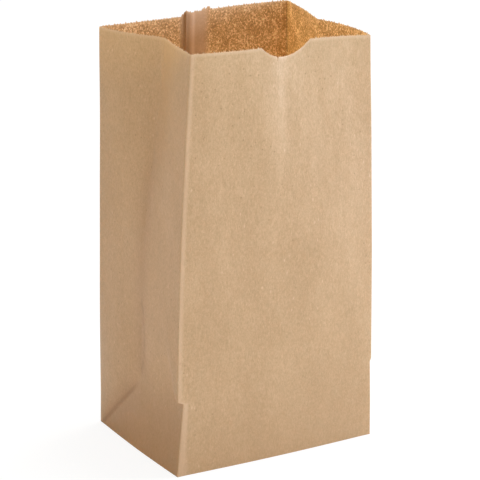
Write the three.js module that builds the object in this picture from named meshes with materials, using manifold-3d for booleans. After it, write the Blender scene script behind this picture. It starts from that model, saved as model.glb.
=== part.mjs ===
// Brown paper lunch bag, a self-opening sack, standing open.
// One kraft sheet is wrapped into a tube with side gussets, lapped and pasted down the back,
// folded shut and pasted at the bottom, and cut across the mouth with a fine saw-edged knife.
// Millimetres, +Z up. The origin is the middle of the base; the front panel faces -Y.
import * as THREE from 'three';
import { mergeVertices } from 'three/addons/utils/BufferGeometryUtils.js';
import Module from 'manifold-3d';

const { lerp, smoothstep, clamp } = THREE.MathUtils;

// Driving sizes
const WIDTH = 127; // front and back panels
const DEPTH = 88.9; // side gussets
const PAPER = 0.1; // one layer of kraft paper
const FOLD_LEVEL = DEPTH / 2; // bottom fold, and the apex of each gusset's triangle
const PERIMETER = 2 * (WIDTH + DEPTH);

// Vertical folds: where each stands on the floor, where it ends at the mouth, and how far it
// bows along X halfway up. The open mouth has twisted a little against the base.
const FOLDS = {
  frontLeft: { foot: [-64.4, -44.4], mouth: [-61.8, -49.4], rim: 242.4, bow: 0 },
  frontRight: { foot: [64.6, -46.4], mouth: [58, -41.6], rim: 238.3, bow: 1.4 },
  backRight: { foot: [64.8, 44.6], mouth: [58.4, 45.6], rim: 240.8, bow: 0.8 },
  backLeft: { foot: [-64.3, 46.9], mouth: [-70.7, 35.2], rim: 240.8, bow: -0.3 },
};
const MOUTH_LEVEL = 241;

// Gussets: how far the middle crease is pushed in at the apex and at the mouth
const APEX_PUSH = 2.5;
const LEFT_MOUTH_PUSH = 13.6;
const RIGHT_MOUTH_PUSH = 7.6;
const PUSH_STARTS = 100; // level where the crease begins to draw in towards the mouth
const LEFT_CREASE_RIM = 241.5;
const RIGHT_CREASE_RIM = 239.7;
const CREASE_ROUND = 4; // softness of the middle crease at the mouth
const FIRST_HALF_BOW = 3.4; // how far each half of a gusset bulges out at the mouth
const SECOND_HALF_BOW = 0.9;

// Swell of a gusset above the diagonal crease that runs to its back fold
const SWELL = 2.6;
const SWELL_REACH = 5;
const SWELL_TOP = 105;
const CORNER_REACH = 8; // distance from the back fold over which the swell begins

// Softness of the front and back, with their waves at the mouth: share of the panel, distance out
const FRONT_FOOT_BOW = 1.4; // the base edges bulge this far out
const SIDE_FOOT_BOW = 1;
const PANEL_BOW = 2.2; // the front and back bulge this far halfway up
const FRONT_WAVE = smoothCurve([
  [0, 0], [0.1, 1.2], [0.22, 1.6], [0.36, 2], [0.44, 1.9], [0.5, 0.5],
  [0.56, -1.1], [0.68, -2.6], [0.82, -2.3], [0.94, -1.2], [1, 0],
]);
const BACK_WAVE = smoothCurve([[0, 0], [0.2, 1.8], [0.4, 1.2], [0.56, -0.8], [0.75, -0.4], [1, 0]]);
const WAVE_STARTS = 115; // level where the waves begin

// Tuck of each front fold just under the bottom fold
const LEFT_PINCH = 2.5;
const RIGHT_PINCH = 0.9;
const PINCH_STEP = 1; // half the height over which the tuck takes place at the fold
const PINCH_FADE = 34; // height over which it lets go away from the fold
const PINCH_NEAR = 2; // distance from the fold where the let-go begins to slow down
const PINCH_FAR = 14;
const PINCH_REACH = 0.1 * WIDTH; // how far into the front panel the tuck shows

// Thumb notch in the front rim, and the nick torn at its lowest point
const NOTCH_WIDTH = 35;
const NOTCH_DEPTH = 6.8;
const NOTCH_CENTRE = 0.512; // share of the front panel from its left fold
const NICK_DEPTH = 3.4;
const NICK_WIDTH = 0.8;
const NICK_OFFSET = -6;

// Saw-cut rim, with its height across the front: share of the panel, height
const FRONT_RIM = smoothCurve([
  [0, FOLDS.frontLeft.rim], [0.36, 240.9], [0.68, 240.6], [0.94, 239.4], [1, FOLDS.frontRight.rim],
]);
const TOOTH_PITCH = 3.2;
const TOOTH_DEPTH = 0.7;

// Lapped seam on the back panel: the right-hand sheet lies inside and stands higher
const LAP_WIDTH = 16;
const LAP_INNER_EDGE = 0.56; // share of the back panel from its right fold
const LAP_STEP = 2; // height by which the inner sheet stands above the outer one
const CUT_EDGE = 0.1; // run of a sheet's cut edge
const CUT_CLEARANCE = 2; // even columns this close to a cut edge are left out

// Pasted bottom: side flaps inside, then the front flap, then the back flap outermost
const BASE_LAYERS = 3;
const FLAP_OVERLAP = 8; // each long flap runs this far past the middle
const CUT_MARGIN = 20; // cutting shapes reach this far outside the base
const CUT_DROP = 1; // and this far below it

// Grid of the skin: the rows below the bottom fold match the half gusset's columns, so that the
// diagonal creases run through grid points
const FRONT_CELLS = 20;
const HALF_GUSSET_CELLS = 6;
const BACK_CELLS = 12;
const UPPER_LEVELS = [52, 64, 80, 98, 116, 134, 152, 170, 186, 202, 216, 229];
const WELD = 1e-4; // points this close are one
const NORMAL_STEP = 0.01; // run along the sheet over which its level normal is taken

// Starts of the four panels, measured round the tube from the front left fold
const RIGHT_START = WIDTH;
const BACK_START = WIDTH + DEPTH;
const LEFT_START = 2 * WIDTH + DEPTH;
const LAP_STARTS = BACK_START + LAP_INNER_EDGE * WIDTH - LAP_WIDTH;
const LAP_ENDS = BACK_START + LAP_INNER_EDGE * WIDTH;

// A smooth function through (place, value) knots.
function smoothCurve(knots) {
  const fit = new THREE.CubicInterpolant(knots.map(([place]) => place), knots.map(([, value]) => value), 1);
  return (place) => fit.evaluate(place)[0];
}

// Plan position of a vertical fold at height z.
function foldAt(fold, z) {
  const climb = z / MOUTH_LEVEL;
  return new THREE.Vector2(
    lerp(fold.foot[0], fold.mouth[0], climb) + fold.bow * Math.sin(Math.PI * clamp(climb, 0, 1)),
    lerp(fold.foot[1], fold.mouth[1], climb),
  );
}

// Tuck of a front fold, seen `away` from it: it grows from the foot to the bottom fold and lets go
// just above it, more slowly with the distance, and has gone at `reach`.
function pinchAt(z, depth, away, reach) {
  const slow = PINCH_FADE * smoothstep(away, PINCH_NEAR, PINCH_FAR);
  const letGo = smoothstep(z, FOLD_LEVEL - PINCH_STEP, FOLD_LEVEL + PINCH_STEP + slow);
  return depth * clamp(z / FOLD_LEVEL, 0, 1) * (1 - letGo) * Math.max(0, 1 - away / reach);
}

// Plan position of the sheet at distance `along` round the tube and height z.
function sheetAt(along, z) {
  const u = THREE.MathUtils.euclideanModulo(along, PERIMETER);
  if (u < RIGHT_START) {
    const point = widePanelAt(FOLDS.frontLeft, FOLDS.frontRight, u / WIDTH, z, FRONT_WAVE);
    point.x += pinchAt(z, LEFT_PINCH, u, PINCH_REACH) - pinchAt(z, RIGHT_PINCH, WIDTH - u, PINCH_REACH);
    return point;
  }
  if (u < BACK_START) {
    const share = (u - RIGHT_START) / DEPTH;
    const point = gussetAt(FOLDS.frontRight, FOLDS.backRight, share, z, RIGHT_MOUTH_PUSH, 1 - share);
    point.x -= pinchAt(z, RIGHT_PINCH, u - RIGHT_START, FOLD_LEVEL);
    return point;
  }
  if (u < LEFT_START) {
    return widePanelAt(FOLDS.backRight, FOLDS.backLeft, (u - BACK_START) / WIDTH, z, BACK_WAVE);
  }
  const share = (u - LEFT_START) / DEPTH;
  const point = gussetAt(FOLDS.backLeft, FOLDS.frontLeft, share, z, LEFT_MOUTH_PUSH, share);
  point.x += pinchAt(z, LEFT_PINCH, PERIMETER - u, FOLD_LEVEL);
  return point;
}

// A point between two folds, moved out from the chord between them by `bulge`.
function panelAt(from, to, share, z, bulge) {
  const start = foldAt(from, z);
  const end = foldAt(to, z);
  const chord = end.clone().sub(start).normalize();
  return start.lerp(end, share).add(new THREE.Vector2(chord.y, -chord.x).multiplyScalar(bulge));
}

// How much of the base edge's bulge is left at height z.
function footShare(z) {
  return 1 - clamp(z / FOLD_LEVEL, 0, 1);
}

// Front or back panel: bowed between its folds, with a wave that grows towards the mouth.
function widePanelAt(from, to, share, z, wave) {
  const bow = FRONT_FOOT_BOW * footShare(z) + PANEL_BOW * Math.sin(Math.PI * clamp(z / MOUTH_LEVEL, 0, 1));
  const sway = smoothstep(z, WAVE_STARTS, MOUTH_LEVEL) * wave(share);
  return panelAt(from, to, share, z, bow * Math.sin(Math.PI * share) + sway);
}

// Gusset: a valley along the middle crease that ends at the apex, with the two diagonal creases
// running from the apex to the base corners. Its halves bulge out at the mouth, and the paper
// swells above the diagonal that runs to the back fold.
function gussetAt(from, to, share, z, mouthPush, backShare) {
  const opening = smoothstep(z, PUSH_STARTS, MOUTH_LEVEL);
  const push = lerp(APEX_PUSH, mouthPush, opening);
  const [near, far] = [DEPTH * share, DEPTH * (1 - share)];
  const fromEdge = (near + far - Math.hypot(near - far, CREASE_ROUND * opening)) / 2;
  const valley = (push * Math.min(fromEdge, Math.max(z, 0))) / FOLD_LEVEL;
  const halfBow = share < 0.5 ? FIRST_HALF_BOW : SECOND_HALF_BOW;
  const bow = opening * halfBow * Math.abs(Math.sin(2 * Math.PI * share));
  const foot = SIDE_FOOT_BOW * footShare(z) * Math.sin(Math.PI * share);
  return panelAt(from, to, share, z, foot + bow + swellAt(DEPTH * backShare, z) - valley);
}

// The swell rises away from the diagonal and dies out at both folds' ends and towards its top.
function swellAt(fromBack, z) {
  const above = Math.max(z - fromBack, 0) / Math.SQRT2;
  const corner = 1 - Math.exp(-fromBack / CORNER_REACH);
  const middle = 1 - Math.min(fromBack / FOLD_LEVEL, 1) ** 2;
  const fade = 1 - smoothstep(z, FOLD_LEVEL, SWELL_TOP);
  return SWELL * (1 - Math.exp(-above / SWELL_REACH)) * corner * middle * fade;
}

// How far across the lap a place is, or null outside it.
function lapShare(u) {
  return u >= LAP_STARTS && u <= LAP_ENDS ? (u - LAP_STARTS) / LAP_WIDTH : null;
}

// Distance of a skin out from the sheet's own outer face: the outer sheet of the lap steps out by
// one layer at its cut edge, and the inner sheet steps in at the other.
function skinOffset(u, inside) {
  const share = lapShare(u);
  if (share === null) return inside ? -PAPER : 0;
  return inside ? -PAPER * (1 + share) : PAPER * (1 - share);
}

// Height of the cut rim: through the fold heights, less the notch, with the saw teeth.
function rimAt(u, inside) {
  const notch = notchDepth(u);
  const tooth = toothIndex(u) % 2 ? -TOOTH_DEPTH / 2 : TOOTH_DEPTH / 2;
  if (u < RIGHT_START) return FRONT_RIM(u / WIDTH) + (notch > 0 ? -notch : tooth);
  const corners = [
    [RIGHT_START, FOLDS.frontRight.rim],
    [RIGHT_START + DEPTH / 2, RIGHT_CREASE_RIM],
    [BACK_START, FOLDS.backRight.rim],
    [LEFT_START, FOLDS.backLeft.rim],
    [LEFT_START + DEPTH / 2, LEFT_CREASE_RIM],
    [PERIMETER, FOLDS.frontLeft.rim],
  ];
  const next = Math.max(1, corners.findIndex(([place]) => place >= u));
  const [startU, startZ] = corners[next - 1];
  const [endU, endZ] = corners[next];
  return lerp(startZ, endZ, (u - startU) / (endU - startU)) + lapHeight(u, inside) + tooth;
}

// The thumb notch is an arc of a circle; the nick is a narrow V near its lowest point.
function notchDepth(u) {
  const reach = u - NOTCH_CENTRE * WIDTH;
  const half = NOTCH_WIDTH / 2;
  if (Math.abs(reach) >= half) return 0;
  const radius = (half * half + NOTCH_DEPTH * NOTCH_DEPTH) / (2 * NOTCH_DEPTH);
  const arc = Math.sqrt(radius * radius - reach * reach) - (radius - NOTCH_DEPTH);
  return arc + NICK_DEPTH * Math.max(0, 1 - Math.abs(reach - NICK_OFFSET) / (NICK_WIDTH / 2));
}

// Right of the lap's inner cut edge the rim stands higher; the step eases out to the fold.
function lapHeight(u, inside) {
  const edge = inside ? LAP_ENDS : LAP_STARTS;
  if (u < BACK_START || u > LEFT_START) return 0;
  const rightSheet = (u - BACK_START) / (LAP_ENDS - BACK_START);
  const leftSheet = (LEFT_START - u) / (LEFT_START - LAP_STARTS);
  return (LAP_STEP / 2) * (u <= edge ? rightSheet : -leftSheet);
}

function toothIndex(u) {
  return Math.round((2 * u) / TOOTH_PITCH);
}

// Round the tube: even cells in each panel, with a pair of columns at each cut edge of the lap.
function coarseColumns() {
  const panels = [
    [0, WIDTH, FRONT_CELLS],
    [RIGHT_START, DEPTH, 2 * HALF_GUSSET_CELLS],
    [BACK_START, WIDTH, BACK_CELLS],
    [LEFT_START, DEPTH, 2 * HALF_GUSSET_CELLS],
  ];
  const even = panels.flatMap(([start, width, cells]) =>
    Array.from({ length: cells }, (_, i) => start + (width * i) / cells));
  const fromCut = (u) => Math.min(Math.abs(u - LAP_STARTS), Math.abs(u - LAP_ENDS));
  const clear = even.filter((u) => fromCut(u) > CUT_CLEARANCE);
  const lap = [LAP_STARTS - CUT_EDGE, LAP_STARTS, LAP_ENDS, LAP_ENDS + CUT_EDGE];
  return [...clear, ...lap].sort((a, b) => a - b);
}

// The rim adds a column at every tooth's tip and root, and at the corners of notch and nick.
function rimColumns(coarse) {
  const count = Math.round((2 * PERIMETER) / TOOTH_PITCH);
  const teeth = Array.from({ length: count }, (_, i) => (i * TOOTH_PITCH) / 2);
  const centre = NOTCH_CENTRE * WIDTH;
  const nick = [-NICK_WIDTH / 2, 0, NICK_WIDTH / 2].map((step) => centre + NICK_OFFSET + step);
  const cuts = [centre - NOTCH_WIDTH / 2, ...nick, centre + NOTCH_WIDTH / 2];
  const fixed = [...coarse, ...cuts].sort((a, b) => a - b);
  const near = (u) => fixed.some((place) => Math.abs(place - u) < CUT_EDGE);
  return [...fixed, ...teeth.filter((u) => !near(u))].sort((a, b) => a - b);
}

// Point of the inner or outer skin: the sheet's place moved along its level normal.
function skinPoint(u, z, inside) {
  const place = sheetAt(u, z);
  const run = sheetAt(u + NORMAL_STEP, z).sub(sheetAt(u - NORMAL_STEP, z)).normalize();
  const offset = skinOffset(u, inside);
  return new THREE.Vector3(place.x + run.y * offset, place.y - run.x * offset, z);
}

function ring(columns, inside, heightAt) {
  return columns.map((u) => ({ u, z: heightAt(u), inside, point: skinPoint(u, heightAt(u), inside) }));
}

// A closed skin stitched through rings, each ordered round the tube. Where two rings share a
// column the cell is split along the diagonal that lies nearer to the true sheet.
function stitch(rings) {
  const positions = [];
  const face = (...corners) => corners.forEach(({ point }) => positions.push(...point.toArray()));
  const wrap = (list, i) => (i < list.length ? list[i] : { ...list[0], u: PERIMETER });
  const missBy = (a, b, centre) =>
    a.point.clone().add(b.point).multiplyScalar(0.5).distanceTo(centre);
  for (let r = 0; r + 1 < rings.length; r += 1) {
    const [low, high] = [rings[r], rings[r + 1]];
    let [i, j] = [0, 0];
    while (i < low.length || j < high.length) {
      const [a, b] = [wrap(low, i), wrap(high, j)];
      const [nextA, nextB] = [wrap(low, i + 1), wrap(high, j + 1)];
      const reachA = i < low.length ? nextA.u : Infinity;
      const reachB = j < high.length ? nextB.u : Infinity;
      if (low.length === 1) {
        face(a, nextB, b);
        j += 1;
        i = j < high.length ? 0 : low.length;
      } else if (high.length === 1) {
        face(a, nextA, b);
        i += 1;
        j = i < low.length ? 0 : high.length;
      } else if (reachA === reachB) {
        const centre = skinPoint((a.u + nextA.u) / 2, (a.z + b.z) / 2, a.inside);
        if (missBy(a, nextB, centre) <= missBy(nextA, b, centre)) {
          face(a, nextA, nextB);
          face(a, nextB, b);
        } else {
          face(a, nextA, b);
          face(nextA, nextB, b);
        }
        i += 1;
        j += 1;
      } else if (reachA < reachB) {
        face(a, nextA, b);
        i += 1;
      } else {
        face(a, nextB, b);
        j += 1;
      }
    }
  }
  const geometry = new THREE.BufferGeometry();
  geometry.setAttribute('position', new THREE.Float32BufferAttribute(positions, 3));
  return geometry;
}

// The bag's skin: middle of the base, up the outside, over the rim, down the inside, to the floor.
function bagSkin() {
  const floor = BASE_LAYERS * PAPER;
  const foldRows = Array.from({ length: HALF_GUSSET_CELLS - 1 },
    (_, i) => ((i + 1) * FOLD_LEVEL) / HALF_GUSSET_CELLS);
  const levels = [...foldRows, FOLD_LEVEL - PINCH_STEP, FOLD_LEVEL + PINCH_STEP, ...UPPER_LEVELS];
  const columns = coarseColumns();
  const rim = rimColumns(columns);
  const walls = (inside, foot) =>
    [foot, ...levels].map((level) => ring(columns, inside, () => level));
  const middle = (z) => [{ u: 0, z, inside: false, point: new THREE.Vector3(0, 0, z) }];
  return stitch([
    middle(0),
    ...walls(false, 0),
    ring(rim, false, (u) => rimAt(u, false)),
    ring(rim, true, (u) => rimAt(u, true)),
    ...walls(true, floor).reverse(),
    middle(floor),
  ]);
}

// Solids for joining and cutting
const wasm = await Module();
wasm.setup();

function solid(geometry) {
  const plain = new THREE.BufferGeometry();
  const loose = geometry.index ? geometry.toNonIndexed() : geometry;
  plain.setAttribute('position', loose.getAttribute('position'));
  const merged = mergeVertices(plain, WELD);
  return new wasm.Manifold(new wasm.Mesh({
    numProp: 3,
    vertProperties: merged.getAttribute('position').array,
    triVerts: new Uint32Array(merged.index.array),
  }));
}

function geometryOf(shape) {
  const mesh = shape.getMesh();
  const geometry = new THREE.BufferGeometry();
  geometry.setAttribute('position', new THREE.BufferAttribute(mesh.vertProperties, 3));
  geometry.setIndex(new THREE.BufferAttribute(mesh.triVerts, 1));
  const faceted = geometry.toNonIndexed();
  faceted.computeVertexNormals();
  return faceted;
}

// A flat outline as a cutter from below the floor up to `height`.
function cutter(points, height, hole) {
  const outline = new THREE.Shape(points.map(([x, y]) => new THREE.Vector2(x, y)));
  if (hole) outline.holes.push(new THREE.Path(hole.map(([x, y]) => new THREE.Vector2(x, y))));
  const block = new THREE.ExtrudeGeometry(outline, { depth: CUT_DROP + height, bevelEnabled: false });
  return solid(block.translate(0, 0, -CUT_DROP));
}

// Underside: the back flap is lowest, the front flap one layer up, the side flaps two.
function cutUnderside(bag) {
  const [halfX, halfY] = [WIDTH / 2, DEPTH / 2];
  const [farX, farY] = [halfX + CUT_MARGIN, halfY + CUT_MARGIN];
  const tip = halfX - halfY - FLAP_OVERLAP;
  const plate = [[-farX, -farY], [farX, -farY], [farX, farY], [-farX, farY]];
  const spread = CUT_MARGIN / 2;
  const backFlap = [
    [-tip, -FLAP_OVERLAP],
    [tip, -FLAP_OVERLAP],
    [halfX + spread, halfY + spread],
    [-halfX - spread, halfY + spread],
  ];
  let cut = bag.subtract(cutter(plate, PAPER, backFlap));
  for (const side of [-1, 1]) {
    const triangle = [
      [side * (halfX - halfY), 0],
      [side * (halfX + spread), halfY + spread],
      [side * (halfX + spread), -halfY - spread],
    ];
    cut = cut.subtract(cutter(side > 0 ? triangle.reverse() : triangle, 2 * PAPER));
  }
  return cut;
}

const kraft = new THREE.MeshStandardMaterial({ color: 0xc9a77c, roughness: 0.85, metalness: 0 });
const bag = new THREE.Mesh(geometryOf(cutUnderside(solid(bagSkin()))), kraft);
bag.name = 'paper_bag';

const part = new THREE.Group();
part.add(bag);

export default part;
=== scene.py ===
"""Brown paper lunch bag: one kraft sheet folded into a gusseted sack, standing open on a pale floor."""
import math

import bpy
import numpy as np
from mathutils import Matrix, Vector


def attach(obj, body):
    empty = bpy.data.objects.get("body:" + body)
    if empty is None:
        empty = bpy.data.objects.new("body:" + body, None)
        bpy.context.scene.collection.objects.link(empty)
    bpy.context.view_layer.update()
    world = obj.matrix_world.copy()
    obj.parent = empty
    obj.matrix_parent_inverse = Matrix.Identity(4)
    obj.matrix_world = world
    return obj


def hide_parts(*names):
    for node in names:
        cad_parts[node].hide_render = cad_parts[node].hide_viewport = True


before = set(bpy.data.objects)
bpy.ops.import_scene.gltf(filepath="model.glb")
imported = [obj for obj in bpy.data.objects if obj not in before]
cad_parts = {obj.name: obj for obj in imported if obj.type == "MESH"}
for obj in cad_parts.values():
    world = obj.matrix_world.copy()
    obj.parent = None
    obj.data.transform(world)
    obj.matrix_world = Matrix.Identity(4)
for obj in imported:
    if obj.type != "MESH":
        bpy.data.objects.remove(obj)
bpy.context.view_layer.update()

# Sizes in millimetres, turned into metres when a mesh is made
MM = 0.001
WIDTH = 127.0  # front and back panels
DEPTH = 88.9  # side gussets
PAPER = 0.1  # one layer of kraft paper
FOLD_LEVEL = DEPTH / 2  # bottom fold, and the apex of each gusset's triangle
MOUTH_LEVEL = 241.0
STEP = 0.254  # spacing of the fine sampling round the sheet
SAMPLES = round(2 * (WIDTH + DEPTH) / STEP)

# Vertical folds: foot on the floor, end at the mouth, rim height, bow along X halfway up
FRONT_LEFT = ((-64.4, -44.4), (-61.8, -49.4), 242.4, -2.2)
FRONT_RIGHT = ((64.6, -46.4), (56.5, -44.0), 238.9, 1.0)
BACK_RIGHT = ((64.8, 44.6), (58.4, 45.6), 240.8, 0.8)
BACK_LEFT = ((-64.3, 46.9), (-70.7, 35.2), 240.8, -0.3)

# Gusset creases: how far in at the apex and at the mouth, and their rim heights
APEX_PUSH = 2.5
LEFT_PUSH, LEFT_CREASE_RIM = 13.6, 241.5
RIGHT_PUSH, RIGHT_CREASE_RIM = 7.6, 239.7
PUSH_STARTS = 100.0
CREASE_ROUND, CREASE_SOFTENS = 7.0, (70.0, 130.0)  # softness of the middle crease, and where it sets in

# Softness of the panels; the waves across the mouth are (share of the panel, distance out) pairs
FRONT_FOOT_BOW, SIDE_FOOT_BOW = 1.4, 1.0
PANEL_BOW = 2.2
FRONT_WAVE = ((0, 0), (0.1, 1.0), (0.22, 1.4), (0.34, 1.6), (0.44, 1.5), (0.46, 1.25), (0.52, 0.05),
              (0.55, -0.25), (0.66, -0.9), (0.78, -1.1), (0.88, -0.8), (1, 0))
BACK_WAVE = ((0, 0), (0.2, 1.8), (0.4, 1.2), (0.56, -0.8), (0.75, -0.4), (1, 0))
WAVE_STARTS = 115.0
FRONT_SWELL = (0.76, 0.15, 122.0, 55.0, 1.1)  # share of the front, half width, height, half height, size
HALF_BOWS = (3.4, 0.9)  # how far the first and second half of a gusset bulge out at the mouth
GROOVE, GROOVE_REACH, GROOVE_TOP = 2.6, 5.0, 105.0  # swell above the diagonal crease to the back fold
CORNER_REACH = 8.0  # distance from the back fold over which that swell begins
CREASE_DROP = 3.0  # how far below the corner's diagonal the paper has creased
FOLD_RADIUS = 0.45  # how far a fold is rounded
# Unevenness of the paper: waves round the tube, waves up the height, size
RIPPLES = ((2, 1.0, 0.16), (5, -0.6, 0.13), (7, 1.7, 0.12), (9, -2.3, 0.08), (14, 0.8, 0.06), (17, 3.1, 0.04))

# Tuck of the two front folds at the bottom fold
LEFT_PINCH, RIGHT_PINCH, PINCH_STEP, PINCH_REACH = 3.7, 0.9, 1.0, 0.10
RIGHT_FOLD_LEVEL = FOLD_LEVEL + 2.4
PINCH_FADE = 34.0  # height over which the tuck lets go away from the fold
PINCH_SLOWS = (2.0, 14.0)  # distances from the fold over which that sets in

# Thumb notch, nick, front rim as (share of the front, height) pairs, saw teeth
NOTCH_WIDTH, NOTCH_DEPTH, NOTCH_CENTRE = 35.0, 6.8, 0.512
NICK_DEPTH, NICK_OFFSET, NICK_HALF = 3.4, -6.0, 0.4
FRONT_RIM = ((0, 242.4), (0.36, 240.8), (0.68, 241.4), (0.94, 239.5), (1, 238.9))
RIM_FOLLOW = 45.0  # height over which the rows bend to follow the rim
TOOTH_DEPTH, FULL_TOOTH, NOTCH_TEETH = 1.2, 1.5, 0.25  # depth, a full tooth's width, share in the notch
TOOTH_MEAN, TOOTH_SWING, TOOTH_TURNS = 0.6, 0.4, (2.399, 0.61)  # how the depth changes from tooth to tooth

# Panels and lap, measured round the tube from the front left fold
BACK_START = WIDTH + DEPTH
LEFT_START = 2 * WIDTH + DEPTH
LAP_WIDTH, LAP_STEP, LAP_CURL, CURL_POWER = 16.0, 2.0, 0.8, 8
LAP_PLACE = 0.56  # share of the back at which the lap ends
LAP_ENDS = BACK_START + LAP_PLACE * WIDTH
LAP_STARTS = LAP_ENDS - LAP_WIDTH
# Torn tips at the lap: share of the back, height, half width
TORN_TIPS = ((0.565, 2.4, 0.7), (0.555, 1.2, 1.5), (0.505, 2.0, 0.5), (0.455, 1.6, 1.0), (0.43, 2.2, 1.5))

# Pasted bottom
FLAP_OVERLAP = 8.0

# Grid of each skin, with its columns counted in samples
COLUMN_SPACING, BESIDE_FOLD = 7, (0, 1, 2, 4, 7)  # from column to column, and those kept beside a fold
BESIDE_NICK, BESIDE_LAP = (-2, -1, 0, 1, 2), (-4, -1, 0, 1, 4)
ABOVE_FOLD, UPPER_ROWS = (0.3, 0.7, 1.3, 2.2, 3.4), 103  # rows close above the bottom fold, rows higher up
SHARP_ANGLE = math.radians(55)

# Light strip along the front left fold
STRIP_WIDTH, STRIP_EDGE, STRIP_STRENGTH = 3.4, 1.2, 0.6
STRIP_GAIN, STRIP_MORE = 1.2, 0.1  # how much wider and stronger it is below the bottom fold
STRIP_FLARE = 1.6  # how much wider again at the foot

# Painted shade: dark crease line above a gusset's apex
LINE_SWING = (3.6, 68, 17)  # swing sideways: distance, height, reach
LINE_WAVES = ((0.5, 0.47), (0.3, 1.1))  # small waves: distance, turn per millimetre
LINE_STRENGTH, LINE_HALF, LINE_ENDS = 0.5, 0.7, (86, 98)

# Painted shade: soft dark middle of a gusset, along its valley
MIDDLE_STRENGTH, MIDDLE_HALF = 0.32, 6.5
MIDDLE_STARTS = (-4, 6)  # heights from the bottom fold
MIDDLE_FADE, MIDDLE_FADES = 0.8, (140, 210)  # share that fades away, and the heights where it does

# Painted shade: dark diagonal crease of a gusset, with painted shadow fading out above it
DIAGONAL_UNDER, DIAGONAL_OVER, DIAGONAL_STRENGTH = 0.6, 1.4, 0.6  # half widths below and above it
DIAGONAL_SHADE_STRENGTH, DIAGONAL_SHADE_REACH = 0.65, 4.5
DIAGONAL_STARTS, DIAGONAL_ENDS = (0, 6), (35, 46)  # distances from the back fold

# Painted shade darkening the foot towards the floor, marks at the lap, and half widths of the other lines
SIDE_FOOT, WIDE_FOOT, WIDE_FOOT_SHADE_STRENGTH = (25, 58), (0, 70), 0.5  # heights where it ends
LAP_MARK_STARTS, LAP_MARK_ENDS, SHADE_STARTS = (-3, 3), (2.6, 3.4), (-4.5, -2.5)  # past the lap's edges
STREAK_PLACE = 0.35  # share of the lap, from its end
EDGE_HALF, SEAM_HALF, STREAK_HALF, CORNER_SHADE_HALF = 0.6, 0.4, 0.8, 0.9

# Papers: noises as (scale, detail, stretch) with their weights in the tone, and colours along the tone
SPECULAR, NOISE_ROUGHNESS = 0.7, 0.6
OUTSIDE_ROUGHNESS, INSIDE_ROUGHNESS = 0.42, 0.75
OUTSIDE_TONE = (  # fibre, grain, blotches, clouds
    ((1200.0, 3.0, 2.0), 0.45),
    ((1900.0, 2.0, 1.0), 0.28),
    ((260.0, 2.0, 1.2), 0.12),
    ((45.0, 3.0, 1.5), 0.15),
)
INSIDE_TONE = (  # fibre, grain, clouds
    ((1150.0, 3.0, 1.3), 0.5),
    ((2400.0, 2.0, 1.0), 0.3),
    ((90.0, 3.0, 1.0), 0.2),
)
WRINKLE, WRINKLE_WEIGHT = (130.0, 3.0, 1.5), 4.5
OUTSIDE_BUMP, INSIDE_BUMP = (0.25, 0.0003), (0.5, 0.0006)  # strength, distance in metres
OUTSIDE_COLOURS = ((0.37, (0.440, 0.314, 0.163)), (0.5, (0.533, 0.387, 0.214)), (0.63, (0.626, 0.464, 0.274)))
INSIDE_COLOURS = ((0.40, (0.33, 0.170, 0.068)), (0.51, (0.51, 0.308, 0.145)), (0.61, (0.95, 0.77, 0.55)))

# Specks as (scale, stretch, size, share of the cells), and marks, each with its colour and strength
SPECK_CORE = 0.4  # share of a speck's size within which it is full
SPECKS = (
    ((240.0, 1.0, 0.16, 0.30), (0.26, 0.15, 0.07), 0.55),
    ((330.0, 2.0, 0.20, 0.25), (0.78, 0.60, 0.40), 0.5),
)
OUTSIDE_MARKS = (
    ("strip", (0.74, 0.55, 0.36), 0.8),
    # painted shade along the crease lines of the gussets
    ("crease", (0.26, 0.15, 0.075), 0.8),
    # painted shade towards the floor
    ("foot", (0.33, 0.21, 0.100), 0.45),
    ("seam", (0.28, 0.17, 0.085), 0.6),
    ("edge", (0.72, 0.55, 0.36), 0.7),
)
INSIDE_MARKS = (
    ("lap", (0.60, 0.41, 0.265), 0.85),
    ("streak", (0.80, 0.62, 0.46), 0.75),
    ("shade", (0.22, 0.115, 0.055), 0.55),
    # painted shade: dark line in the inside corner at the back right fold
    ("corner", (0.16, 0.075, 0.03), 0.6),
    ("edge", (0.72, 0.55, 0.36), 0.5),
)

# Share of the light that passes through one sheet, the same along the inside's tone, and through the lap
THROUGH = (0.195, 0.095, 0.020)
THROUGH_TONES = ((0.4, (0.11, 0.044, 0.008)), (0.5, THROUGH), (0.6, (0.38, 0.20, 0.052)))
THROUGH_LAP, THROUGH_LAP_STRENGTH = (0.09, 0.042, 0.010), 0.9

# Floor and surround
FLOOR_REACH, FLOOR_GREY = 6.0, 0.8  # half its size in metres, its grey for the bag
SHADOW_GREY, FLOOR_GLOW = 0.22, 0.86  # its grey and glow for the camera
SURROUND, SURROUND_STRENGTH = (1, 0.98, 0.93, 1), 0.54

# Softboxes: place, target, size, watts, colour
KEY_LIGHT = ((1.61, -0.72, 0.32), (0, 0, 0.12), 0.6, 20.6, (0.97, 1.0, 1.10))
TOP_LIGHT = ((0.45, 0.0, 1.75), (0, 0, 0.12), 0.6, 13.0, (1.0, 1.0, 1.0))

# Camera
VIEW_AZIMUTH, VIEW_ELEVATION, VIEW_ROLL = math.radians(-31.7), math.radians(18.5), math.radians(1.08)
VIEW_DISTANCE = 1.269
VIEW_TARGET = (0.00085, -0.00053, 0.1163)
LENS_MM, SENSOR_MM = 166.65, 36.0


def ease(z, low, high):
    """Smooth step: 0 below low, 1 above high, with a cubic between."""
    t = np.clip((z - low) / (high - low), 0.0, 1.0)
    return t * t * (3.0 - 2.0 * t)


def bell(distance, half_width):
    """Gaussian that is 1 at no distance and has fallen to about 0.37 at half_width."""
    return np.exp(-((distance / half_width) ** 2))


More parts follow.
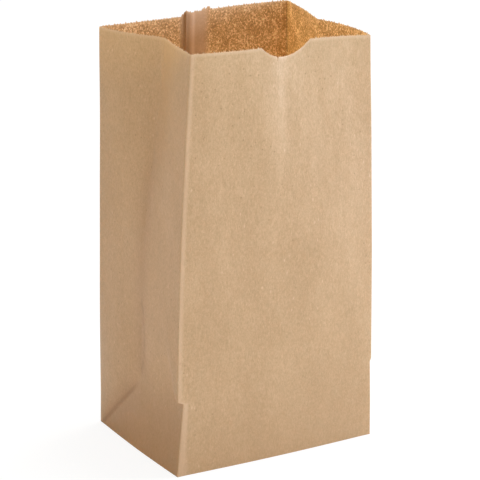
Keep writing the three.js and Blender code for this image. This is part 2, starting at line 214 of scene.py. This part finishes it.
def curve(share, knots):
    """Smooth curve through (place, value) knots: cubic pieces whose end slopes follow the neighbouring
    knots."""
    x, y = np.array(knots, float).T
    slope = np.gradient(y, x)
    k = np.clip(np.searchsorted(x, share) - 1, 0, len(x) - 2)
    width = x[k + 1] - x[k]
    t = np.clip((share - x[k]) / width, 0, 1)
    start = (1 - t) ** 2 * ((1 + 2 * t) * y[k] + t * width * slope[k])
    return start + t**2 * ((3 - 2 * t) * y[k + 1] - (1 - t) * width * slope[k + 1])


def fold_line(fold, z):
    """Plan position of a vertical fold: a straight climb from foot to mouth plus a sine bow along X."""
    foot, mouth, _, bow = fold
    climb = z / MOUTH_LEVEL
    x = foot[0] + (mouth[0] - foot[0]) * climb + bow * np.sin(np.pi * np.clip(climb, 0, 1))
    y = foot[1] + (mouth[1] - foot[1]) * climb
    return np.stack(np.broadcast_arrays(x, y), -1)


def pinch(z, depth, level, away):
    """Tuck of a front fold: grows from the foot to the bottom fold, and lets go just above it at the fold
    itself, more slowly with the distance away from it."""
    let_go = 1 - ease(z, level - PINCH_STEP, level + PINCH_STEP + PINCH_FADE * ease(away, *PINCH_SLOWS))
    return depth * np.clip(z / level, 0, 1) * let_go


def between(start_fold, end_fold, share, z, bulge):
    """Straight line between two folds, moved out along the chord's normal by the bulge."""
    start, end = fold_line(start_fold, z), fold_line(end_fold, z)
    chord = end - start
    chord = chord / np.linalg.norm(chord, axis=-1, keepdims=True)
    normal = np.stack([chord[..., 1], -chord[..., 0]], -1)
    return start + (end - start) * share[..., None] + normal * bulge[..., None]


def wide_panel(start_fold, end_fold, share, z, wave):
    """Front or back: a sine bow between its folds plus a wave that grows towards the mouth."""
    foot = FRONT_FOOT_BOW * (1 - np.clip(z / FOLD_LEVEL, 0, 1))
    swell = PANEL_BOW * np.sin(np.pi * np.clip(z / MOUTH_LEVEL, 0, 1))
    sway = ease(z, WAVE_STARTS, MOUTH_LEVEL) * curve(share, wave)
    return between(start_fold, end_fold, share, z, (foot + swell) * np.sin(np.pi * share) + sway)


def gusset(start_fold, end_fold, share, z, mouth_push, back_share):
    """Gusset: a valley as deep as the crease's push, falling to nothing at the side folds and, below the
    apex, at the base, which makes the two diagonal creases. Its halves bulge out at the mouth, and the paper
    swells above the diagonal crease that runs to the back fold."""
    foot = SIDE_FOOT_BOW * (1 - np.clip(z / FOLD_LEVEL, 0, 1)) * np.sin(np.pi * share)
    opening = ease(z, PUSH_STARTS, MOUTH_LEVEL)
    push = APEX_PUSH + (mouth_push - APEX_PUSH) * opening
    near, far = DEPTH * share, DEPTH * (1 - share)
    from_edge = 0.5 * (near + far - np.hypot(near - far, CREASE_ROUND * ease(z, *CREASE_SOFTENS)))
    valley = push * np.minimum(from_edge, np.maximum(z, 0)) / FOLD_LEVEL
    bow = opening * np.abs(np.sin(2 * np.pi * share)) * np.where(share < 0.5, *HALF_BOWS)
    from_back = DEPTH * back_share
    above = np.maximum(z - from_back + CREASE_DROP, 0) / math.sqrt(2)
    corner = 1 - np.exp(-from_back / CORNER_REACH)
    middle = 1 - np.clip(from_back / FOLD_LEVEL, 0, 1) ** 2
    swell = GROOVE * (1 - np.exp(-above / GROOVE_REACH)) * corner * middle
    swell = swell * (1 - ease(z, FOLD_LEVEL, GROOVE_TOP))
    return between(start_fold, end_fold, share, z, foot + bow + swell - valley)


def blur_round(values, radius):
    """Gaussian blur along the closed round of samples, done in the frequency domain."""
    waves = np.fft.rfftfreq(SAMPLES, STEP)
    keep = np.exp(-2 * (np.pi * waves * radius) ** 2)
    return np.fft.irfft(np.fft.rfft(values, axis=1) * keep[None, :, None], SAMPLES, axis=1)


def sheet_plan(z):
    """Plan of the whole sheet on the fine sampling, for heights z of shape (rows, SAMPLES): the four panels
    side by side, a Gaussian swell on the front, the front folds tucked, all folds rounded by a narrow
    Gaussian round the tube."""
    u = np.arange(SAMPLES) * STEP
    starts = (0.0, WIDTH, BACK_START, LEFT_START)
    widths = (WIDTH, DEPTH, WIDTH, DEPTH)
    cuts = [round(start / STEP) for start in starts] + [SAMPLES]
    panels = [slice(a, b) for a, b in zip(cuts, cuts[1:])]
    share = [np.broadcast_to((u[p] - s) / w, z[:, p].shape) for p, s, w in zip(panels, starts, widths)]
    level = [z[:, p] for p in panels]
    front = wide_panel(FRONT_LEFT, FRONT_RIGHT, share[0], level[0], FRONT_WAVE)
    place, half, height, reach, size = FRONT_SWELL
    front[..., 1] -= size * bell(share[0] - place, half) * bell(level[0] - height, reach)
    right = gusset(FRONT_RIGHT, BACK_RIGHT, share[1], level[1], RIGHT_PUSH, 1 - share[1])
    back = wide_panel(BACK_RIGHT, BACK_LEFT, share[2], level[2], BACK_WAVE)
    left = gusset(BACK_LEFT, FRONT_LEFT, share[3], level[3], LEFT_PUSH, share[3])
    tucks = (
        (front, LEFT_PINCH, FOLD_LEVEL, level[0], WIDTH * share[0], WIDTH * PINCH_REACH),
        (front, -RIGHT_PINCH, RIGHT_FOLD_LEVEL, level[0], WIDTH * (1 - share[0]), WIDTH * PINCH_REACH),
        (right, -RIGHT_PINCH, RIGHT_FOLD_LEVEL, level[1], DEPTH * share[1], FOLD_LEVEL),
        (left, LEFT_PINCH, FOLD_LEVEL, level[3], DEPTH * (1 - share[3]), FOLD_LEVEL),
    )
    for panel, depth, fold_level, height, away, reach in tucks:
        panel[..., 0] += pinch(height, depth, fold_level, away) * np.clip(1 - away / reach, 0, 1)
    return blur_round(np.concatenate([front, right, back, left], axis=1), FOLD_RADIUS)


def notch_depth(u):
    """Circular arc of the thumb notch plus a narrow V for the nick, measured down from the rim."""
    reach = u - NOTCH_CENTRE * WIDTH
    half = NOTCH_WIDTH / 2
    radius = (half**2 + NOTCH_DEPTH**2) / (2 * NOTCH_DEPTH)
    arc = np.sqrt(np.maximum(radius**2 - reach**2, 0)) - (radius - NOTCH_DEPTH)
    nick = NICK_DEPTH * np.clip(1 - np.abs(reach - NICK_OFFSET) / NICK_HALF, 0, 1)
    return np.where(np.abs(reach) < half, arc + nick, 0.0)


def rim_height(u, inside):
    """Rim: through the fold heights, less the notch; right of the lap's cut edge the sheet stands higher,
    and torn tips stand up at the lap."""
    places = (WIDTH, WIDTH + DEPTH / 2, BACK_START, LEFT_START, LEFT_START + DEPTH / 2, 2 * BACK_START)
    heights = (FRONT_RIGHT[2], RIGHT_CREASE_RIM, BACK_RIGHT[2], BACK_LEFT[2], LEFT_CREASE_RIM, FRONT_LEFT[2])
    rim = np.where(u < WIDTH, curve(u / WIDTH, FRONT_RIM), np.interp(u, places, heights)) - notch_depth(u)
    right_sheet = (u - BACK_START) / (LAP_ENDS - BACK_START)
    left_sheet = (u - LEFT_START) / (LEFT_START - LAP_STARTS)
    step = LAP_STEP / 2 * np.where(u <= (LAP_ENDS if inside else LAP_STARTS), right_sheet, left_sheet)
    tips = sum(height * bell(u - BACK_START - place * WIDTH, half) for place, height, half in TORN_TIPS)
    return rim + np.where((u >= BACK_START) & (u <= LEFT_START), step + tips, 0.0)


def skin_offset(u, inside):
    """Distance of a skin from the sheet's outer face: one layer of paper, a second one in the lap, whose
    inner cut edge curls away."""
    share = (u - LAP_STARTS) / LAP_WIDTH
    lap = (share >= 0) & (share <= 1)
    if inside:
        return -PAPER - np.where(lap, PAPER * share + LAP_CURL * np.clip(share, 0, 1) ** CURL_POWER, 0.0)
    return np.where(lap, PAPER * (1 - share), 0.0)


def ripple(u, z):
    """Slight unevenness of the paper: a few sine waves that close round the tube."""
    turn = 2 * np.pi * u / (SAMPLES * STEP)
    rise = 2 * np.pi * z / MOUTH_LEVEL
    return sum(size * np.sin(count * turn + climb * rise + count) for count, climb, size in RIPPLES)


def fold_distances(length):
    """Sample counts from one fold to the next: close together at both folds, evenly spaced between."""
    ends = np.array(BESIDE_FOLD)
    inner = np.linspace(ends[-1], length - ends[-1], round(length / COLUMN_SPACING))
    return np.unique(np.concatenate([ends, np.round(inner).astype(int), length - ends]))


def column_indices():
    """Samples kept as columns, panel by panel; the halves of the gussets mirror each other, so that their
    diagonal creases pass through grid points."""
    wide, half = round(WIDTH / STEP), round(DEPTH / 2 / STEP)
    panel, gusset_half = fold_distances(wide), fold_distances(half)
    fold = np.concatenate([gusset_half, 2 * half - gusset_half])
    starts = np.round(np.array([0, WIDTH, BACK_START, LEFT_START]) / STEP).astype(int)
    nick = (NOTCH_CENTRE * WIDTH + NICK_OFFSET) / STEP + np.array(BESIDE_NICK)
    lap = np.array([LAP_STARTS, LAP_ENDS])[:, None] / STEP + np.array(BESIDE_LAP)
    ends = np.concatenate([nick, lap.ravel()]).round().astype(int)
    even = np.concatenate([starts[0] + panel, starts[1] + fold, starts[2] + panel, starts[3] + fold])
    return np.unique(np.concatenate([even, ends]) % SAMPLES)


def row_levels():
    """Heights of the rows before they follow the rim: below the bottom fold the same spacing as the gusset's
    columns, above it about 1.9 mm apart."""
    below = fold_distances(round(FOLD_LEVEL / STEP)) * STEP
    above = FOLD_LEVEL + np.array(ABOVE_FOLD)
    return np.concatenate([below, above, np.linspace(above[-1], MOUTH_LEVEL, UPPER_ROWS)[1:]])


def skin(columns, levels, inside):
    """One face of the sheet as a grid of rows by columns, with its place u round the tube and its height z.
    The rows near the mouth bend to follow the rim."""
    u = np.arange(SAMPLES) * STEP
    rim = rim_height(u, inside)
    z = levels[:, None] + (rim - MOUTH_LEVEL) * ease(levels, MOUTH_LEVEL - RIM_FOLLOW, MOUTH_LEVEL)[:, None]
    plan = sheet_plan(z)
    run = np.roll(plan, -1, axis=1) - np.roll(plan, 1, axis=1)
    run /= np.linalg.norm(run, axis=-1, keepdims=True)
    normal = np.stack([run[..., 1], -run[..., 0]], -1)
    foot = ease(z, 0, FOLD_LEVEL / 2)
    plan = plan + normal * (skin_offset(u, inside) + ripple(u, z) * foot)[..., None]
    points = np.concatenate([plan, z[..., None]], -1)[:, columns]
    return points, np.broadcast_to(u[columns], points.shape[:2]), z[:, columns], rim[columns]


def marks(u, z, rim):
    """Where the paper is marked, each from 0 to 1, as bells of and steps in the distance from a line: light
    strip along the front left fold, painted shade along the crease lines, painted shade darkening the foot,
    cut edge, back seam, lap, streak down the lap, painted shade in the corner of the back, shade at the
    lap's edge."""
    below = 1 - ease(z, FOLD_LEVEL - 1, FOLD_LEVEL + 1)
    strip_width = STRIP_WIDTH + below * (STRIP_GAIN + STRIP_FLARE * (1 - np.clip(z / FOLD_LEVEL, 0, 1)))
    strip = (STRIP_STRENGTH + STRIP_MORE * below) * (1 - ease(u, strip_width - STRIP_EDGE, strip_width))
    on_gusset = (u > WIDTH) & (u < BACK_START) | (u > LEFT_START)
    along = np.where(u < BACK_START, u - WIDTH, u - LEFT_START)
    from_edge = np.minimum(along, DEPTH - along)
    swing, swing_height, swing_reach = LINE_SWING
    waves = sum(size * np.sin(turn * z) for size, turn in LINE_WAVES)
    wander = swing * bell(z - swing_height, swing_reach) + waves
    # painted shade: dark crease line and soft dark middle of a gusset
    line = LINE_STRENGTH * bell(along - DEPTH / 2 - wander, LINE_HALF) * (1 - ease(z, *LINE_ENDS))
    middle = line + MIDDLE_STRENGTH * bell(from_edge - FOLD_LEVEL, MIDDLE_HALF)
    middle = middle * ease(z - FOLD_LEVEL, *MIDDLE_STARTS) * (1 - MIDDLE_FADE * ease(z, *MIDDLE_FADES))
    from_back = np.where(u < BACK_START, DEPTH - along, along)
    # painted shade and shadow: dark diagonal crease, with shade fading out above it
    above = (z - from_back + CREASE_DROP) / math.sqrt(2)
    shade_above_diagonal = DIAGONAL_SHADE_STRENGTH * np.exp(-np.maximum(above, 0) / DIAGONAL_SHADE_REACH)
    over = shade_above_diagonal + DIAGONAL_STRENGTH * bell(above, DIAGONAL_OVER)
    diagonal = np.where(above < 0, bell(above, DIAGONAL_UNDER), over)
    diagonal = diagonal * ease(from_back, *DIAGONAL_STARTS) * (1 - ease(from_back, *DIAGONAL_ENDS))
    # painted shade towards the floor: low on the gussets below the diagonal, on the front and back over the
    # lowest 70 mm
    side_foot_shade = (1 - ease(z, *SIDE_FOOT)) * (1 - ease(above, -1, 1))
    wide_foot_shade = WIDE_FOOT_SHADE_STRENGTH * (1 - ease(z, *WIDE_FOOT))
    before_lap_ends = 1 - ease(u - LAP_ENDS, *LAP_MARK_ENDS)
    return {
        "strip": strip,
        "crease": np.where(on_gusset, np.maximum(middle, diagonal), 0),
        "foot": np.where(on_gusset, side_foot_shade, wide_foot_shade),
        "edge": bell(rim - z, EDGE_HALF),
        "seam": bell(u - LAP_STARTS, SEAM_HALF),
        "lap": ease(u - LAP_STARTS, *LAP_MARK_STARTS) * before_lap_ends,
        "streak": bell(u - LAP_ENDS + STREAK_PLACE * LAP_WIDTH, STREAK_HALF),
        # painted shade in the inside corner at the back right fold
        "corner": bell(u - BACK_START, CORNER_SHADE_HALF),
        "shade": ease(u - LAP_ENDS, *SHADE_STARTS) * before_lap_ends,
    }


def grid_faces(first, rows, columns, roll):
    """Quads of a closed round grid whose vertices start at index first; roll tells, for each column,
    whether the quad's splitting diagonal runs the other way."""
    r, c = np.meshgrid(np.arange(rows - 1), np.arange(columns), indexing="ij")
    across = (c + 1) % columns
    low, high = r * columns, (r + 1) * columns
    quad = np.stack([low + c, low + across, high + across, high + c], -1)
    return first + np.where(roll[None, :, None], np.roll(quad, -1, axis=-1), quad).reshape(-1, 4)


def make_mesh(name, points, faces, materials, face_material, point_marks):
    """Mesh object from arrays, smooth with sharp cut edges, carrying its marks as point attributes."""
    mesh = bpy.data.meshes.new(name)
    mesh.from_pydata((points * MM).tolist(), [], faces)
    for material in materials:
        mesh.materials.append(material)
    mesh.polygons.foreach_set("material_index", face_material)
    mesh.polygons.foreach_set("use_smooth", np.ones(len(faces), bool))
    for key, values in point_marks.items():
        layer = mesh.attributes.new(key, "FLOAT", "POINT")
        layer.data.foreach_set("value", values.astype(np.float32))
    mesh.update()
    mesh.set_sharp_from_angle(angle=SHARP_ANGLE)
    piece = bpy.data.objects.new(name, mesh)
    bpy.context.scene.collection.objects.link(piece)
    return piece


def flap_layers():
    """Underside: the front flap and, lowest, the back flap, as thin trapezoid plates; returns points
    and faces."""
    corners = [np.array(fold[0]) for fold in (FRONT_LEFT, FRONT_RIGHT, BACK_RIGHT, BACK_LEFT)]
    tip = WIDTH / 2 - DEPTH / 2 - FLAP_OVERLAP
    front = [corners[0], corners[1], (tip, FLAP_OVERLAP), (-tip, FLAP_OVERLAP)]
    back = [corners[2], corners[3], (-tip, -FLAP_OVERLAP), (tip, -FLAP_OVERLAP)]
    plates = [(front, PAPER), (back, 0.0)]
    solids = [np.array([(*p, low + h) for h in (0, PAPER) for p in plate]) for plate, low in plates]
    box = [(3, 2, 1, 0), (4, 5, 6, 7), (0, 1, 5, 4), (1, 2, 6, 5), (2, 3, 7, 6), (3, 0, 4, 7)]
    corner_count = len(solids[0])
    faces = [tuple(corner_count * k + i for i in face) for k in range(len(plates)) for face in box]
    return np.concatenate(solids), faces


def paper_bag(outside, inside):
    """The bag: outer and inner skins, joined over the saw-cut rim and closed at the base, with its
    pasted flaps."""
    columns, levels = column_indices(), row_levels()
    n, m = len(columns), len(levels)
    outer, outer_u, outer_z, outer_rim = skin(columns, np.maximum(levels, 2 * PAPER), False)
    inner, inner_u, inner_z, inner_rim = skin(columns, np.maximum(levels, 3 * PAPER), True)
    c = np.arange(n)  # each column
    d = (c + 1) % n  # the column after it
    u = columns * STEP
    widths = (columns[d] - columns) % SAMPLES * STEP
    uneven = TOOTH_MEAN + TOOTH_SWING * np.sin(c * TOOTH_TURNS[0]) * np.sin(c * TOOTH_TURNS[1] + 1.0)
    in_notch = np.where(notch_depth(u) > 0, NOTCH_TEETH, 1.0)
    lift = TOOTH_DEPTH * uneven * np.clip(widths / FULL_TOOTH, 0, 1) * in_notch
    tips = [0.5 * (g[-1] + g[-1][d]) + np.outer(lift, [0, 0, 1]) for g in (outer, inner)]
    middles = [np.array([[0.0, 0.0, 2 * PAPER]]), np.array([[0.0, 0.0, 3 * PAPER]])]
    flaps, flap_faces = flap_layers()
    blocks = [outer.reshape(-1, 3), inner.reshape(-1, 3), *tips, *middles, flaps]
    starts = np.cumsum([len(block) for block in blocks[:-1]])
    first_in, tip_out, tip_in, middle_out, middle_in, first_flap = starts
    past_right, past_left = u - WIDTH - DEPTH / 2, u - LEFT_START - DEPTH / 2
    second_half = ((past_right > -STEP / 2) & (past_right < DEPTH / 2 - STEP / 2)) | (past_left > -STEP / 2)
    top_out, top_in = (m - 2) * n, first_in + (m - 2) * n
    high_out, high_in = top_out + n, top_in + n
    groups = [  # faces and their material: 0 outside, 1 inside
        (grid_faces(0, m - 1, n, second_half), 0),  # outer skin
        (np.stack([top_out + c, top_out + d, high_out + d, tip_out + c, high_out + c], -1), 0),  # its teeth
        (np.stack([high_out + c, tip_out + c, tip_in + c, high_in + c], -1), 0),  # cut edge up each tooth
        (np.stack([tip_out + c, high_out + d, high_in + d, tip_in + c], -1), 0),  # cut edge down again
        (np.stack([d, c, np.full(n, middle_out)], -1), 0),  # underside of the base
        (np.array(flap_faces) + first_flap, 0),
        (grid_faces(first_in, m - 1, n, ~second_half)[:, ::-1], 1),  # inner skin
        (np.stack([top_in + d, top_in + c, high_in + c, tip_in + c, high_in + d], -1), 1),  # its teeth
        (np.stack([first_in + c, first_in + d, np.full(n, middle_in)], -1), 1),  # inside of the base
    ]
    faces = [face for group, _ in groups for face in group.tolist()]
    face_material = np.concatenate([np.full(len(group), slot) for group, slot in groups])
    outer_marks, inner_marks = marks(outer_u, outer_z, outer_rim), marks(inner_u, inner_z, inner_rim)
    rest = np.zeros(len(middles) + len(flaps))
    point_marks = {}
    for key in outer_marks:
        grids = [outer_marks[key], inner_marks[key]]
        point_marks[key] = np.concatenate([g.ravel() for g in grids] + [g[-1] for g in grids] + [rest])
    points = np.concatenate(blocks)
    return make_mesh("bag_sheet", points, faces, [outside, inside], face_material, point_marks)


def add(tree, kind, **values):
    """New shader node; values set its inputs where an input has that name, its settings otherwise."""
    made = tree.nodes.new(kind)
    for key, value in values.items():
        if key in made.inputs:
            made.inputs[key].default_value = value
        else:
            setattr(made, key, value)
    return made


def ramp(tree, source, stops):
    """Colour ramp through (position, colour) stops, fed by a factor."""
    made = add(tree, "ShaderNodeValToRGB")
    elements = made.color_ramp.elements
    while len(elements) < len(stops):
        elements.new(0.5)
    for element, (position, colour) in zip(elements, stops):
        element.position = position
        element.color = (*colour, 1)
    tree.links.new(source, made.inputs["Fac"])
    return made.outputs["Color"]


def blend(tree, factor, under, over, strength):
    """Mix of a colour over another by a factor times a strength."""
    amount = add(tree, "ShaderNodeMath", operation="MULTIPLY")
    amount.inputs[1].default_value = strength
    tree.links.new(factor, amount.inputs[0])
    made = add(tree, "ShaderNodeMix", data_type="RGBA")
    tree.links.new(amount.outputs[0], made.inputs["Factor"])
    tree.links.new(under, made.inputs[6])
    made.inputs[7].default_value = (*over, 1)
    return made.outputs[2]


def mark(tree, name):
    """One of the bag's point attributes as a factor."""
    return add(tree, "ShaderNodeAttribute", attribute_name=name).outputs["Fac"]


def noise(tree, coordinates, scale, detail, stretch):
    """Noise on object coordinates, drawn out along Z by the stretch."""
    mapping = add(tree, "ShaderNodeMapping", Scale=(1, 1, 1 / stretch))
    tree.links.new(coordinates, mapping.inputs["Vector"])
    made = add(tree, "ShaderNodeTexNoise", Scale=scale, Detail=detail, Roughness=NOISE_ROUGHNESS)
    tree.links.new(mapping.outputs[0], made.inputs["Vector"])
    return made.outputs["Fac"]


def specks(tree, coordinates, scale, stretch, size, share):
    """Small spots: the middles of some of the cells of a cell texture."""
    mapping = add(tree, "ShaderNodeMapping", Scale=(1, 1, 1 / stretch))
    tree.links.new(coordinates, mapping.inputs["Vector"])
    cells = add(tree, "ShaderNodeTexVoronoi", Scale=scale)
    tree.links.new(mapping.outputs[0], cells.inputs["Vector"])
    spot = add(tree, "ShaderNodeMapRange")
    for key, value in (("From Min", SPECK_CORE * size), ("From Max", size), ("To Min", 1.0), ("To Max", 0.0)):
        spot.inputs[key].default_value = value
    tree.links.new(cells.outputs["Distance"], spot.inputs["Value"])
    chosen = add(tree, "ShaderNodeMath", operation="LESS_THAN")
    chosen.inputs[1].default_value = share
    tree.links.new(cells.outputs["Color"], chosen.inputs[0])
    both = add(tree, "ShaderNodeMath", operation="MULTIPLY")
    tree.links.new(spot.outputs[0], both.inputs[0])
    tree.links.new(chosen.outputs[0], both.inputs[1])
    return both.outputs[0]


def weigh(tree, parts):
    """Weighted sum of factors."""
    total = None
    for source, weight in parts:
        made = add(tree, "ShaderNodeMath", operation="MULTIPLY_ADD")
        tree.links.new(source, made.inputs[0])
        made.inputs[1].default_value = weight
        made.inputs[2].default_value = 0.0
        if total is not None:
            tree.links.new(total, made.inputs[2])
        total = made.outputs[0]
    return total


def new_paper(name, roughness):
    """Empty paper material; returns it with its tree, shader and object coordinates."""
    material = bpy.data.materials.new(name)
    material.use_nodes = True
    tree = material.node_tree
    shader = tree.nodes["Principled BSDF"]
    shader.inputs["Roughness"].default_value = roughness
    shader.inputs["Specular IOR Level"].default_value = SPECULAR
    return material, tree, shader, add(tree, "ShaderNodeTexCoord").outputs["Object"]


def bump(tree, shader, height, strength, distance):
    """Fine relief of the paper's surface."""
    made = add(tree, "ShaderNodeBump", Strength=strength, Distance=distance)
    tree.links.new(height, made.inputs["Height"])
    tree.links.new(made.outputs[0], shader.inputs["Normal"])


def let_light_through(tree, shader, tint=None):
    """Thin paper: some light passes on through the sheet and comes out tinted, by an uneven tint where one
    is given; within the sheet it passes freely."""
    tinted = add(tree, "ShaderNodeBsdfTranslucent", Color=(*THROUGH, 1))
    if tint:
        tree.links.new(tint, tinted.inputs["Color"])
    free = add(tree, "ShaderNodeBsdfTranslucent", Color=(1, 1, 1, 1))
    both, mix = add(tree, "ShaderNodeAddShader"), add(tree, "ShaderNodeMixShader")
    tree.links.new(shader.outputs[0], both.inputs[0])
    tree.links.new(tinted.outputs[0], both.inputs[1])
    tree.links.new(add(tree, "ShaderNodeNewGeometry").outputs["Backfacing"], mix.inputs["Fac"])
    tree.links.new(both.outputs[0], mix.inputs[1])
    tree.links.new(free.outputs[0], mix.inputs[2])
    tree.links.new(mix.outputs[0], tree.nodes["Material Output"].inputs["Surface"])


def outside_paper():
    """Smooth side of the kraft paper: tan, with fine upright fibres, a faint cloudiness and a few specks.
    Its colour follows a weighted sum of noises, with the specks and then the marks blended over it."""
    material, tree, shader, place = new_paper("kraft_outside", OUTSIDE_ROUGHNESS)
    tone = weigh(tree, [(noise(tree, place, *kind), weight) for kind, weight in OUTSIDE_TONE])
    colour = ramp(tree, tone, OUTSIDE_COLOURS)
    for kind, over, strength in SPECKS:
        colour = blend(tree, specks(tree, place, *kind), colour, over, strength)
    for name, over, strength in OUTSIDE_MARKS:
        colour = blend(tree, mark(tree, name), colour, over, strength)
    tree.links.new(colour, shader.inputs["Base Color"])
    wrinkle = noise(tree, place, *WRINKLE)
    bump(tree, shader, weigh(tree, ((tone, 1.0), (wrinkle, WRINKLE_WEIGHT))), *OUTSIDE_BUMP)
    let_light_through(tree, shader)
    return material


def inside_paper():
    """Rough side of the kraft paper: orange brown and strongly mottled, smoother where the lap doubles it.
    Its colour and the light that it lets through follow a weighted sum of noises, with the marks blended
    over it."""
    material, tree, shader, place = new_paper("kraft_inside", INSIDE_ROUGHNESS)
    tone = weigh(tree, [(noise(tree, place, *kind), weight) for kind, weight in INSIDE_TONE])
    colour = ramp(tree, tone, INSIDE_COLOURS)
    for name, over, strength in INSIDE_MARKS:
        colour = blend(tree, mark(tree, name), colour, over, strength)
    tree.links.new(colour, shader.inputs["Base Color"])
    bump(tree, shader, tone, *INSIDE_BUMP)
    tint = ramp(tree, tone, THROUGH_TONES)
    let_light_through(tree, shader, blend(tree, mark(tree, "lap"), tint, THROUGH_LAP, THROUGH_LAP_STRENGTH))
    return material


def floor_and_world():
    """Square pale floor that keeps the bag's shadow, and an even surround, slightly warm for the bag and
    white for the camera."""
    mesh = bpy.data.meshes.new("floor")
    corners = [(FLOOR_REACH * x, FLOOR_REACH * y, 0) for x, y in ((-1, -1), (1, -1), (1, 1), (-1, 1))]
    mesh.from_pydata(corners, [], [(0, 1, 2, 3)])
    floor = bpy.data.objects.new("floor", mesh)
    bpy.context.scene.collection.objects.link(floor)
    material = bpy.data.materials.new("pale_floor")
    material.use_nodes = True
    tree = material.node_tree
    tree.nodes.clear()
    out = add(tree, "ShaderNodeOutputMaterial")
    diffuse = add(tree, "ShaderNodeBsdfDiffuse", Color=(FLOOR_GREY, FLOOR_GREY, FLOOR_GREY, 1))
    shadowed = add(tree, "ShaderNodeBsdfDiffuse", Color=(SHADOW_GREY, SHADOW_GREY, SHADOW_GREY, 1))
    glow = add(tree, "ShaderNodeEmission", Color=(1, 1, 1, 1), Strength=FLOOR_GLOW)
    both = add(tree, "ShaderNodeAddShader")
    path = add(tree, "ShaderNodeLightPath")
    mix = add(tree, "ShaderNodeMixShader")
    tree.links.new(shadowed.outputs[0], both.inputs[0])
    tree.links.new(glow.outputs[0], both.inputs[1])
    tree.links.new(path.outputs["Is Camera Ray"], mix.inputs["Fac"])
    tree.links.new(diffuse.outputs[0], mix.inputs[1])
    tree.links.new(both.outputs[0], mix.inputs[2])
    tree.links.new(mix.outputs[0], out.inputs["Surface"])
    mesh.materials.append(material)
    world = bpy.data.worlds.new("studio")
    bpy.context.scene.world = world
    world.use_nodes = True
    tree = world.node_tree
    tree.nodes.clear()
    out = add(tree, "ShaderNodeOutputWorld")
    soft = add(tree, "ShaderNodeBackground", Color=SURROUND, Strength=SURROUND_STRENGTH)
    white = add(tree, "ShaderNodeBackground", Color=(1, 1, 1, 1), Strength=1.0)
    path = add(tree, "ShaderNodeLightPath")
    mix = add(tree, "ShaderNodeMixShader")
    tree.links.new(path.outputs["Is Camera Ray"], mix.inputs["Fac"])
    tree.links.new(soft.outputs[0], mix.inputs[1])
    tree.links.new(white.outputs[0], mix.inputs[2])
    tree.links.new(mix.outputs[0], out.inputs["Surface"])


def softbox(name, place, target, size, watts, colour):
    """Square area light aimed at a point."""
    lamp = bpy.data.lights.new(name, "AREA")
    lamp.shape = "SQUARE"
    lamp.size = size
    lamp.energy = watts
    lamp.color = colour
    light = bpy.data.objects.new(name, lamp)
    light.location = place
    light.rotation_euler = (Vector(target) - Vector(place)).to_track_quat("-Z", "Y").to_euler()
    bpy.context.scene.collection.objects.link(light)


def camera():
    """Camera looking at the bag from the photograph's angle."""
    view = bpy.data.cameras.new("camera")
    view.lens = LENS_MM
    view.sensor_width = SENSOR_MM
    eye = bpy.data.objects.new("camera", view)
    back = Vector((math.sin(VIEW_AZIMUTH) * math.cos(VIEW_ELEVATION),
                   -math.cos(VIEW_AZIMUTH) * math.cos(VIEW_ELEVATION), math.sin(VIEW_ELEVATION)))
    level = Vector((math.cos(VIEW_AZIMUTH), math.sin(VIEW_AZIMUTH), 0))
    upright = back.cross(level)
    right = level * math.cos(VIEW_ROLL) + upright * math.sin(VIEW_ROLL)
    up = upright * math.cos(VIEW_ROLL) - level * math.sin(VIEW_ROLL)
    turn = Matrix((right, up, back)).transposed().to_4x4()
    eye.matrix_world = Matrix.Translation(Vector(VIEW_TARGET) + back * VIEW_DISTANCE) @ turn
    bpy.context.scene.collection.objects.link(eye)
    bpy.context.scene.camera = eye


camera()
floor_and_world()
softbox("key_light", *KEY_LIGHT)
softbox("top_light", *TOP_LIGHT)
bag = paper_bag(outside_paper(), inside_paper())
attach(bag, "root")
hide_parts("paper_bag")

bpy.context.scene.view_settings.view_transform = "Standard"
